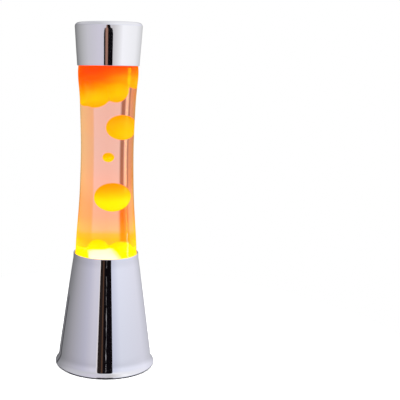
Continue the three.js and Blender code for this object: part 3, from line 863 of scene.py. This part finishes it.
KEPT = {
    STEEL: ["cover_ring", "cover_screw_1", "cover_screw_2", "cover_screw_3", "lampholder_bracket",
            "bracket_screw_1", "bracket_screw_2", "lampholder_nipple", "nipple_nut", "bulb_contact",
            "heat_coil", "bulb_filament"],
    BRASS: ["lampholder_contact"],
    BLACK_PLASTIC: ["bottom_cover", "bulb_insulator"],
    CERAMIC: ["terminal_block"],
    SILICONE: ["closure_seal"],
    LEAD: ["live_lead", "neutral_lead"],
}
for material, names in KEPT.items():
    for name in names:
        nodes[name].data.materials.clear()
        nodes[name].data.materials.append(material)
        shade(nodes[name].data)


# ---- Studio: a round tent with a dark gap at the front, a floor, soft lights and the camera ----

GAP_DISTANCE = 0.34  # how far in front of the lamp the tent's gap is
TENT_RADIUS = 0.45
FLOOR_RADIUS = 0.42

# Tent colours round the lamp, in degrees: 0 is the front, 90 the right, 180 the back
LOWER_TENT = [
    (-180, (0.33, 0.33, 0.35)),
    (-165, (0.19, 0.19, 0.2)),
    (-127, (0.29, 0.29, 0.3)),
    (-95, (0.42, 0.41, 0.44)),
    (-51, (0.55, 0.54, 0.63)),
    (-31, (0.66, 0.64, 0.71)),
    (22, (0.64, 0.66, 0.77)),
    (41, (0.79, 0.81, 0.9)),
    (110, (0.84, 0.84, 0.92)),
    (150, (0.68, 0.68, 0.74)),
    (165, (0.54, 0.54, 0.58)),
    (180, (0.33, 0.33, 0.35)),
]
UPPER_TENT = [
    (-180, (0.33, 0.33, 0.33)),
    (-165, (0.17, 0.17, 0.17)),
    (-150, (0.22, 0.22, 0.22)),
    (-104, (0.48, 0.48, 0.48)),
    (-74, (0.62, 0.61, 0.64)),
    (-27, (0.69, 0.66, 0.74)),
    (15, (0.64, 0.62, 0.62)),
    (49, (1.04, 1.04, 1.05)),
    (104, (0.97, 0.97, 0.97)),
    (150, (0.67, 0.67, 0.67)),
    (165, (0.54, 0.54, 0.54)),
    (180, (0.33, 0.33, 0.33)),
]
# What shows through the bottle
SEEN_THROUGH = [
    (-180, (0.98, 0.94, 0.95)),
    (-166.5, (0.98, 0.94, 0.95)),
    (-165, (0.42, 0.24, 0.18)),
    (-160.5, (0.44, 0.24, 0.17)),
    (-159, (1.05, 0.86, 0.72)),
    (-154.5, (1.05, 0.86, 0.72)),
    (-152.5, (0.5, 0.27, 0.2)),
    (-150.5, (0.5, 0.27, 0.2)),
    (-148.5, (0.85, 0.5, 0.33)),
    (-140, (0.8, 0.42, 0.24)),
    (-125, (0.85, 0.4, 0.18)),
    (-90, (0.95, 0.85, 0.8)),
    (90, (0.95, 0.9, 0.9)),
    (130, (1.05, 0.82, 0.45)),
    (148, (1.0, 0.82, 0.46)),
    (155, (0.97, 0.78, 0.46)),
    (164, (0.97, 0.78, 0.48)),
    (166, (0.98, 0.94, 0.95)),
    (180, (0.98, 0.94, 0.95)),
]
# The same low down, where the bulb lights it through the bottle
SEEN_THROUGH_LOW = [
    (-180, (0.95, 0.85, 0.8)),
    (-168, (0.95, 0.85, 0.8)),
    (-164.5, (0.9, 0.27, 0.02)),
    (-160.5, (0.9, 0.27, 0.02)),
    (-158, (1.0, 0.36, 0.12)),
    (-152, (1.0, 0.36, 0.14)),
    (-148, (1.0, 0.65, 0.4)),
    (-130, (1.0, 0.72, 0.35)),
    (-90, (1.0, 0.9, 0.4)),
    (90, (0.95, 0.85, 0.4)),
    (130, (1.05, 0.7, 0.36)),
    (164, (1.05, 0.7, 0.36)),
    (166, (0.95, 0.85, 0.8)),
    (180, (0.95, 0.85, 0.8)),
]
CEILING_LEFT, CEILING_RIGHT = (0.62, 0.62, 0.64), (0.95, 0.95, 0.96)
LOW_BAND = (0.34, 0.34, 0.35)  # a low, darker band, and the pale floor below it
BELOW = (0.6, 0.6, 0.62)
IN_GLASS = (0.5, 0.36, 0.0)  # what the glass reflects


def tent_colour(tree, direction, stops):
    """A colour ramp round the lamp, for a direction or a place."""
    axes = split(tree, direction)
    turn = maths(tree, "ARCTAN2", axes["X"], maths(tree, "MULTIPLY", axes["Y"], -1.0))
    share = map_range(tree, turn, -math.pi, math.pi)
    return colour_ramp(tree, share, [((degrees + 180) / 360, colour) for degrees, colour in stops])


def tent():
    """The far tent: white to the camera, with the colours above for what the chrome and the glass see."""
    world = bpy.data.worlds.new("tent")
    bpy.context.scene.world = world
    world.use_nodes = True
    tree = world.node_tree
    tree.nodes.clear()
    direction = tree.nodes.new("ShaderNodeTexCoord").outputs["Generated"]
    axes = split(tree, direction)

    def upwards(low, high, first=0.0, last=1.0):
        return map_range(tree, axes["Z"], low, high, first, last)

    low_fade = upwards(-0.22, 0.04, 0.88, 1.09)
    lower = vector_maths(tree, "MULTIPLY", tent_colour(tree, direction, LOWER_TENT), low_fade)
    ceiling = colour_mix(tree, map_range(tree, axes["X"], -0.4, 0.4), CEILING_LEFT, CEILING_RIGHT)
    wall = colour_mix(tree, upwards(0.2, 0.55), lower, ceiling)
    wall = colour_mix(tree, upwards(-0.42, -0.36), LOW_BAND, wall)
    wall = colour_mix(tree, upwards(-0.58, -0.47), BELOW, wall)
    through_low = tent_colour(tree, direction, SEEN_THROUGH_LOW)
    through = tent_colour(tree, direction, SEEN_THROUGH)
    through = colour_mix(tree, upwards(-0.235, -0.175), through_low, through)
    ray = tree.nodes.new("ShaderNodeLightPath").outputs
    seen = colour_mix(tree, ray["Is Singular Ray"], wall, IN_GLASS)
    seen = colour_mix(tree, ray["Is Transmission Ray"], seen, through)
    seen = colour_mix(tree, ray["Is Camera Ray"], seen, (1.0, 1.0, 1.0))
    background = tree.nodes.new("ShaderNodeBackground")
    output = tree.nodes.new("ShaderNodeOutputWorld")
    tree.links.new(seen, background.inputs["Color"])
    tree.links.new(background.outputs["Background"], output.inputs["Surface"])


def staged_card(name, mesh, look):
    """Part of the tent that only shows in reflections. It casts no shadow."""
    piece = new_object(name, mesh)
    mesh.materials.append(look.material)
    piece.visible_camera = False
    piece.visible_diffuse = False
    piece.visible_shadow = False
    piece.visible_volume_scatter = False
    piece.visible_transmission = False
    return piece


def glowing(name, colour, strength=1.0):
    return Look(name, Base_Color=grey(0.0), Roughness=1.0, Specular_IOR_Level=0.0,
                Emission_Color=(*colour, 1), Emission_Strength=strength)


def shown_in(tree, glass):
    """Either smooth glass reflects the card, or the chrome, which is a little rough. The other sees
    through it."""
    own, nothing = tree.nodes["Principled BSDF"].outputs["BSDF"], see_through(tree)
    in_rough, in_smooth = (nothing, own) if glass else (own, nothing)
    smooth_ray = tree.nodes.new("ShaderNodeLightPath").outputs["Is Singular Ray"]
    set_surface(tree, mix_shaders(tree, smooth_ray, in_rough, in_smooth))


def upper_tent():
    """The part of the tent that the cap sees is lighter."""
    middle, depth = 0.36, 0.18
    mesh = bpy.data.meshes.new("upper_tent")
    made = bmesh.new()
    bmesh.ops.create_cone(made, cap_ends=False, segments=96, radius1=TENT_RADIUS, radius2=TENT_RADIUS,
                          depth=depth)
    bmesh.ops.translate(made, verts=made.verts, vec=(0, 0, middle))
    made.to_mesh(mesh)
    made.free()
    look = glowing("upper_tent", (1, 1, 1))
    look.link(tent_colour(look.tree, object_place(look.tree), UPPER_TENT), "Emission Color")
    shown_in(look.tree, glass=False)
    staged_card("upper_tent", mesh, look)


def card(name, outline, colour, strength=1.0, nearer=0.0, turned_by=0.0):
    """A flat card across the tent's gap; its outline is (x, z) in metres. It may be turned about the lamp."""
    mesh = bpy.data.meshes.new(name)
    y = nearer - GAP_DISTANCE
    mesh.from_pydata([(x, y, z) for x, z in outline], [], [list(range(len(outline)))])
    look = glowing(name, colour, strength)
    piece = staged_card(name, mesh, look)
    piece.rotation_euler = (0, 0, math.radians(turned_by))
    return look


def strip(left, right, low, high):
    return [(left, low), (right, low), (right, high), (left, high)]


def rounded(left, right, low, high, corner=0.03):
    """A strip whose upper corners are round."""
    turn = np.radians(np.linspace(0, 90, 7))
    inner, base = right - corner, high - corner
    right_side = [(inner + corner * math.cos(a), base + corner * math.sin(a)) for a in turn]
    left_side = [(left + right - x, z) for x, z in reversed(right_side)]
    return [(left, low), (right, low), *right_side, *left_side]


def pointed(left, right, low, high, top):
    """A strip whose upper end narrows to a point."""
    middle, half = (left + right) / 2, (right - left) / 2
    sides = [(1.0, high), (0.95, high + 0.003), (0.82, high + 0.008), (0.5, high + 0.014), (0.15, top)]
    right_side = [(middle + share * half, z) for share, z in sides]
    left_side = [(middle - share * half, z) for share, z in reversed(sides)]
    return [(left, low), (right, low), *right_side, *left_side]


def gap_in_tent():
    """The dark gap at the tent's front, with a brown edge. The camera looks in through it."""
    black, dim = (0.004, 0.003, 0.004), (0.022, 0.015, 0.013)
    brown, dark_brown, light = (0.36, 0.19, 0.14), (0.1, 0.05, 0.03), (0.8, 0.75, 0.76)
    card("gap_above", pointed(-0.094, 0.086, 0.28, 0.348, 0.46), black)
    card("gap_above_brown", pointed(-0.06, -0.012, 0.28, 0.355, 0.44), brown, nearer=0.002)
    card("gap_below", rounded(-0.098, 0.108, -0.12, 0.165), black)
    card("gap_below_dim", strip(-0.098, 0.0, -0.12, 0.13), dim, nearer=0.002)
    card("gap_below_brown", strip(-0.043, -0.028, -0.12, 0.15), dark_brown, nearer=0.004)
    card("gap_below_black", strip(-0.018, 0.09, -0.12, 0.13), black, nearer=0.004)
    fleck(card("gap_below_flecks", strip(0.012, 0.024, -0.1, 0.12), light, nearer=0.006))
    card("edge_light", strip(-0.118, -0.098, -0.12, 0.16), light)


def fleck(look):
    """Breaks the card's light up into flecks."""
    look.link(map_range(look.tree, look.noise(60, 2), 0.45, 0.65, 0.0, 0.6), "Emission Strength")


def side_strip():
    """A narrow lamp on the right. It shows as the long highlight down the bottle, which is brighter low
    down."""
    lamps = [
        ("side_strip_high", 0.045, 0.27, 0.38, (1.0, 0.6, 0.0), 26.0),
        ("side_strip", 0.022, 0.125, 0.27, (1.0, 0.7, 0.05), 11.0),
        ("side_strip_low", 0.022, 0.02, 0.125, (1.0, 0.95, 0.75), 13.0),
    ]
    for name, half, low, high, colour, strength in lamps:
        look = card(name, strip(-half, half, low, high), colour, strength, turned_by=84)
        shown_in(look.tree, glass=True)


def cable_gap():
    """A low, dark gap at the back left, which shows at the foot's left edge. Its sides are soft."""
    half, black = 0.03, (0.012, 0.01, 0.012)
    look = card("cable_gap", strip(-half, half, -0.2, 0.02), black, nearer=0.02, turned_by=-132.7)
    tree = look.tree
    away = maths(tree, "ABSOLUTE", split(tree, object_place(tree))["X"])
    fade = map_range(tree, away, 0.0, half, 0.1, 1.0)
    set_surface(tree, mix_shaders(tree, fade, look.shader.outputs["BSDF"], see_through(tree)))


def contact_shadow():
    """Painted shadow: a dark ring where the foot meets the floor, seen only in reflections. It shows in the
    underside of the rolled lip.
    """
    steps, height = 96, 0.3
    mesh = bpy.data.meshes.new("contact_shadow")
    turns = [math.tau * step / steps for step in range(steps)]
    radii = (FOOT_RADIUS - 4, FOOT_RADIUS + 3)
    places = [Vector((r * math.cos(turn), r * math.sin(turn), height)) * MM for r in radii for turn in turns]
    faces = [(i, (i + 1) % steps, steps + (i + 1) % steps, steps + i) for i in range(steps)]
    mesh.from_pydata(places, [], faces)
    staged_card("contact_shadow", mesh, glowing("contact_shadow", (0.01, 0.01, 0.012)))


def floor():
    """A round, pale floor that turns into the white of the tent at its edge. From below it is not there."""
    mesh = bpy.data.meshes.new("floor")
    made = bmesh.new()
    bmesh.ops.create_circle(made, cap_ends=True, segments=128, radius=FLOOR_RADIUS)
    made.to_mesh(mesh)
    made.free()
    piece = new_object("floor", mesh)
    look = Look("floor", Base_Color=grey(0.8), Roughness=0.8, Specular_IOR_Level=0.0)
    tree = look.tree
    from_lamp = vector_maths(tree, "LENGTH", object_place(tree))
    fade = map_range(tree, from_lamp, FLOOR_RADIUS * 0.25, FLOOR_RADIUS * 0.95)
    white = tree.nodes.new("ShaderNodeEmission").outputs["Emission"]
    above = mix_shaders(tree, fade, look.shader.outputs["BSDF"], white)
    from_below = tree.nodes.new("ShaderNodeNewGeometry").outputs["Backfacing"]
    set_surface(tree, mix_shaders(tree, from_below, above, see_through(tree)))
    mesh.materials.append(look.material)
    piece.visible_glossy = False
    piece.visible_transmission = False


def softbox(name, place, aim, size, power):
    data = bpy.data.lights.new(name, "AREA")
    data.shape = "RECTANGLE"
    data.size, data.size_y = size
    data.energy = power
    light = bpy.data.objects.new(name, data)
    light.location = place
    light.rotation_euler = (Vector(aim) - Vector(place)).to_track_quat("-Z", "Y").to_euler()
    light.visible_glossy = False
    light.visible_transmission = False
    bpy.context.scene.collection.objects.link(light)


def camera():
    """Level with the cap, looking a little down, with the lamp left of the picture's centre."""
    distance, height, pitch, roll = 0.8578, 0.3428, 9.95, 0.73  # metres and degrees
    data = bpy.data.cameras.new("camera")
    data.sensor_width = 36
    data.lens = 68.9
    data.shift_x = 0.2335
    piece = bpy.data.objects.new("camera", data)
    look = Euler((math.radians(90 - pitch), 0, 0)).to_matrix() @ Matrix.Rotation(math.radians(roll), 3, "Z")
    piece.matrix_world = Matrix.Translation((0, -distance, height)) @ look.to_4x4()
    bpy.context.scene.collection.objects.link(piece)
    bpy.context.scene.camera = piece


floor()
contact_shadow()
tent()
upper_tent()
gap_in_tent()
side_strip()
cable_gap()
softbox("key", (0.9, -0.9, 1.3), (0, 0, 0.15), (0.9, 0.9), 30)
softbox("fill", (-1.0, -0.6, 1.0), (0, 0, 0.15), (0.9, 0.9), 18)
softbox("top", (0.0, 0.3, 1.8), (0, 0, 0), (1.4, 1.4), 30)
camera()
bpy.context.scene.view_settings.view_transform = "Standard"

bpy.context.view_layer.update()
